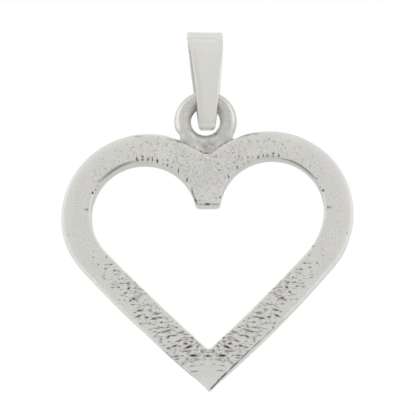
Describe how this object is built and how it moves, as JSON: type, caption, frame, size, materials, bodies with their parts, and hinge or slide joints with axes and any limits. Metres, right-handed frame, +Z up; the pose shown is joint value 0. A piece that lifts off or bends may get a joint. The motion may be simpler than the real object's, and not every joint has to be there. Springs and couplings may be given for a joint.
{
  "type": "heart pendant",
  "caption": "Open heart pendant with a worn, pitted front and a ring soldered in its cleft, hanging in a tapered folded bail.",
  "frame": {"origin": "middle of the bail's top bend, where the chain runs through", "axes": "+Z up as the pendant hangs, +X to the viewer's right and along the chain, -Y out of the heart's front face"},
  "size_m": [0.0249, 0.0042, 0.0312],
  "materials": {
    "textured_silver": "satin, cast and pitted front with darker grain",
    "satin_silver": "smooth satin"
  },
  "bodies": {
    "bail": {"bail": "satin_silver"},
    "heart": {"heart": "textured_silver"}
  },
  "joints": [
    {"name": "swing", "type": "hinge", "parent": "bail", "child": "heart", "pos_m": [0, 0, -0.00415], "axis": [1, 0, 0], "range_deg": [-100, 100]}
  ]
}
